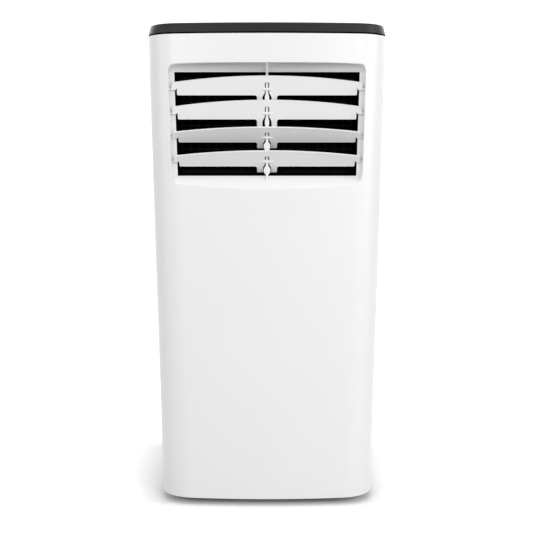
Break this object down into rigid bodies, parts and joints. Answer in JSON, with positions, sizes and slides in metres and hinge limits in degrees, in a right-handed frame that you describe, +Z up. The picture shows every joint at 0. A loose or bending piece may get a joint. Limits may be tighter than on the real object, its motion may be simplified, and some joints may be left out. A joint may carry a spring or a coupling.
{
  "type": "portable air conditioner",
  "caption": "Upright room air conditioner on castors, white tapering casing, black lid with controls, louvred outlet at the front, intake grilles and exhaust collar at the back.",
  "frame": {"origin": "centre of the bounding box's base, on the floor", "axes": "+Z up; front and air outlet face -Y; exhaust collar points to +Y; +X is the viewer's right"},
  "size_m": [0.336, 0.31, 0.68],
  "materials": {
    "white_shell": "fine satin moulded white",
    "white_louvre": "satin moulded white",
    "black_lid": "fine satin black",
    "gloss_black": "glossy black",
    "smoked_window": "smoked clear",
    "button_grey": "satin dark grey",
    "duct_black": "moulded black",
    "filter_grey": "moulded grey",
    "filter_cloth": "woven nylon mesh",
    "pan_grey": "moulded dark grey",
    "castor_black": "moulded black nylon",
    "rubber_black": "soft black rubber",
    "screw_steel": "zinc plated",
    "compressor_black": "black enamel",
    "motor_steel": "grey enamel",
    "coil_aluminium": "bare fins",
    "copper_pipe": "bare copper",
    "board_green": "coated circuit board",
    "box_grey": "moulded grey"
  },
  "bodies": {
    "root": {"accumulator": "compressor_black", "base_pan": "pan_grey", "blower_housing": "duct_black", "blower_motor": "motor_steel", "cable_inlet": "filter_grey", "capillary_tube": "copper_pipe", "casing_screws": "screw_steel", "compressor": "compressor_black", "compressor_feet": "rubber_black", "condenser_coil": "coil_aluminium", "condenser_fan_housing": "box_grey", "condenser_fan_motor": "motor_steel", "control_board": "board_green", "control_panel": "gloss_black", "discharge_pipe": "copper_pipe", "display_board": "board_green", "display_window": "smoked_window", "drain_spout": "filter_grey", "drip_tray": "box_grey", "electrical_box": "box_grey", "electrical_cover": "box_grey", "evaporator_coil": "coil_aluminium", "exhaust_collar": "filter_grey", "exhaust_duct": "box_grey", "front_shell": "white_shell", "left_handle_cup": "white_shell", "lower_intake_grille": "white_shell", "outlet_frame": "white_shell", "outlet_guard": "duct_black", "rear_shell": "white_shell", "right_handle_cup": "white_shell", "run_capacitor": "motor_steel", "splash_motor": "motor_steel", "suction_pipe": "copper_pipe", "top_lid": "black_lid"},
    "louvre_1": {"louvre_1": "white_louvre"},
    "louvre_2": {"louvre_2": "white_louvre"},
    "louvre_3": {"louvre_3": "white_louvre"},
    "louvre_4": {"louvre_4": "white_louvre"},
    "power_button": {"power_button": "button_grey"},
    "mode_button": {"mode_button": "button_grey"},
    "fan_speed_button": {"fan_speed_button": "button_grey"},
    "timer_button": {"timer_button": "button_grey"},
    "temperature_down_button": {"temperature_down_button": "button_grey"},
    "temperature_up_button": {"temperature_up_button": "button_grey"},
    "intake_cover": {"upper_intake_grille": "white_shell", "filter_frame": "filter_grey", "filter_mesh": "filter_cloth"},
    "drain_plug": {"drain_plug": "rubber_black"},
    "castor_front_left": {"castor_fork_front_left": "castor_black"},
    "wheels_front_left": {"castor_wheels_front_left": "castor_black"},
    "castor_front_right": {"castor_fork_front_right": "castor_black"},
    "wheels_front_right": {"castor_wheels_front_right": "castor_black"},
    "castor_rear_left": {"castor_fork_rear_left": "castor_black"},
    "wheels_rear_left": {"castor_wheels_rear_left": "castor_black"},
    "castor_rear_right": {"castor_fork_rear_right": "castor_black"},
    "wheels_rear_right": {"castor_wheels_rear_right": "castor_black"},
    "blower": {"blower_wheel": "duct_black"},
    "condenser_fan": {"condenser_fan": "box_grey"},
    "splash_wheel": {"splash_wheel": "box_grey"}
  },
  "joints": [
    {"name": "louvre_1_tilt", "type": "hinge", "parent": "root", "child": "louvre_1", "pos_m": [0, -0.135, 0.59], "axis": [1, 0, 0], "range_deg": [0, 80]},
    {"name": "louvre_2_tilt", "type": "hinge", "parent": "root", "child": "louvre_2", "pos_m": [0, -0.135, 0.5567], "axis": [1, 0, 0], "range_deg": [0, 80]},
    {"name": "louvre_3_tilt", "type": "hinge", "parent": "root", "child": "louvre_3", "pos_m": [0, -0.135, 0.5234], "axis": [1, 0, 0], "range_deg": [-27, 53]},
    {"name": "louvre_4_tilt", "type": "hinge", "parent": "root", "child": "louvre_4", "pos_m": [0, -0.135, 0.4901], "axis": [1, 0, 0], "range_deg": [-24, 56]},
    {"name": "power_button_press", "type": "slide", "parent": "root", "child": "power_button", "axis": [0, 0, -1], "range_m": [0, 0.0012], "stiffness_N_per_m": 400, "springref_m": -0.0008},
    {"name": "mode_button_press", "type": "slide", "parent": "root", "child": "mode_button", "axis": [0, 0, -1], "range_m": [0, 0.0012], "stiffness_N_per_m": 400, "springref_m": -0.0008},
    {"name": "fan_speed_button_press", "type": "slide", "parent": "root", "child": "fan_speed_button", "axis": [0, 0, -1], "range_m": [0, 0.0012], "stiffness_N_per_m": 400, "springref_m": -0.0008},
    {"name": "timer_button_press", "type": "slide", "parent": "root", "child": "timer_button", "axis": [0, 0, -1], "range_m": [0, 0.0012], "stiffness_N_per_m": 400, "springref_m": -0.0008},
    {"name": "temperature_down_button_press", "type": "slide", "parent": "root", "child": "temperature_down_button", "axis": [0, 0, -1], "range_m": [0, 0.0012], "stiffness_N_per_m": 400, "springref_m": -0.0008},
    {"name": "temperature_up_button_press", "type": "slide", "parent": "root", "child": "temperature_up_button", "axis": [0, 0, -1], "range_m": [0, 0.0012], "stiffness_N_per_m": 400, "springref_m": -0.0008},
    {"name": "intake_cover_pull", "type": "slide", "parent": "root", "child": "intake_cover", "axis": [0, 1, 0], "range_m": [0, 0.12]},
    {"name": "drain_plug_pull", "type": "slide", "parent": "root", "child": "drain_plug", "axis": [0, 1, 0], "range_m": [0, 0.04]},
    {"name": "castor_front_left_swivel", "type": "hinge", "parent": "root", "child": "castor_front_left", "pos_m": [-0.104, -0.095, 0.037], "axis": [0, 0, 1], "continuous": true},
    {"name": "wheels_front_left_roll", "type": "hinge", "parent": "castor_front_left", "child": "wheels_front_left", "pos_m": [-0.104, -0.083, 0.016], "axis": [1, 0, 0], "continuous": true},
    {"name": "castor_front_right_swivel", "type": "hinge", "parent": "root", "child": "castor_front_right", "pos_m": [0.104, -0.095, 0.037], "axis": [0, 0, 1], "continuous": true},
    {"name": "wheels_front_right_roll", "type": "hinge", "parent": "castor_front_right", "child": "wheels_front_right", "pos_m": [0.104, -0.083, 0.016], "axis": [1, 0, 0], "continuous": true},
    {"name": "castor_rear_left_swivel", "type": "hinge", "parent": "root", "child": "castor_rear_left", "pos_m": [-0.104, 0.082, 0.037], "axis": [0, 0, 1], "continuous": true},
    {"name": "wheels_rear_left_roll", "type": "hinge", "parent": "castor_rear_left", "child": "wheels_rear_left", "pos_m": [-0.104, 0.094, 0.016], "axis": [1, 0, 0], "continuous": true},
    {"name": "castor_rear_right_swivel", "type": "hinge", "parent": "root", "child": "castor_rear_right", "pos_m": [0.104, 0.082, 0.037], "axis": [0, 0, 1], "continuous": true},
    {"name": "wheels_rear_right_roll", "type": "hinge", "parent": "castor_rear_right", "child": "wheels_rear_right", "pos_m": [0.104, 0.094, 0.016], "axis": [1, 0, 0], "continuous": true},
    {"name": "blower_spin", "type": "hinge", "parent": "root", "child": "blower", "pos_m": [0, 0.005, 0.545], "axis": [1, 0, 0], "continuous": true},
    {"name": "condenser_fan_spin", "type": "hinge", "parent": "root", "child": "condenser_fan", "pos_m": [-0.01, 0.037, 0.185], "axis": [0, 1, 0], "continuous": true},
    {"name": "splash_wheel_spin", "type": "hinge", "parent": "root", "child": "splash_wheel", "pos_m": [0.095, 0.058, 0.082], "axis": [0, 1, 0], "continuous": true}
  ]
}
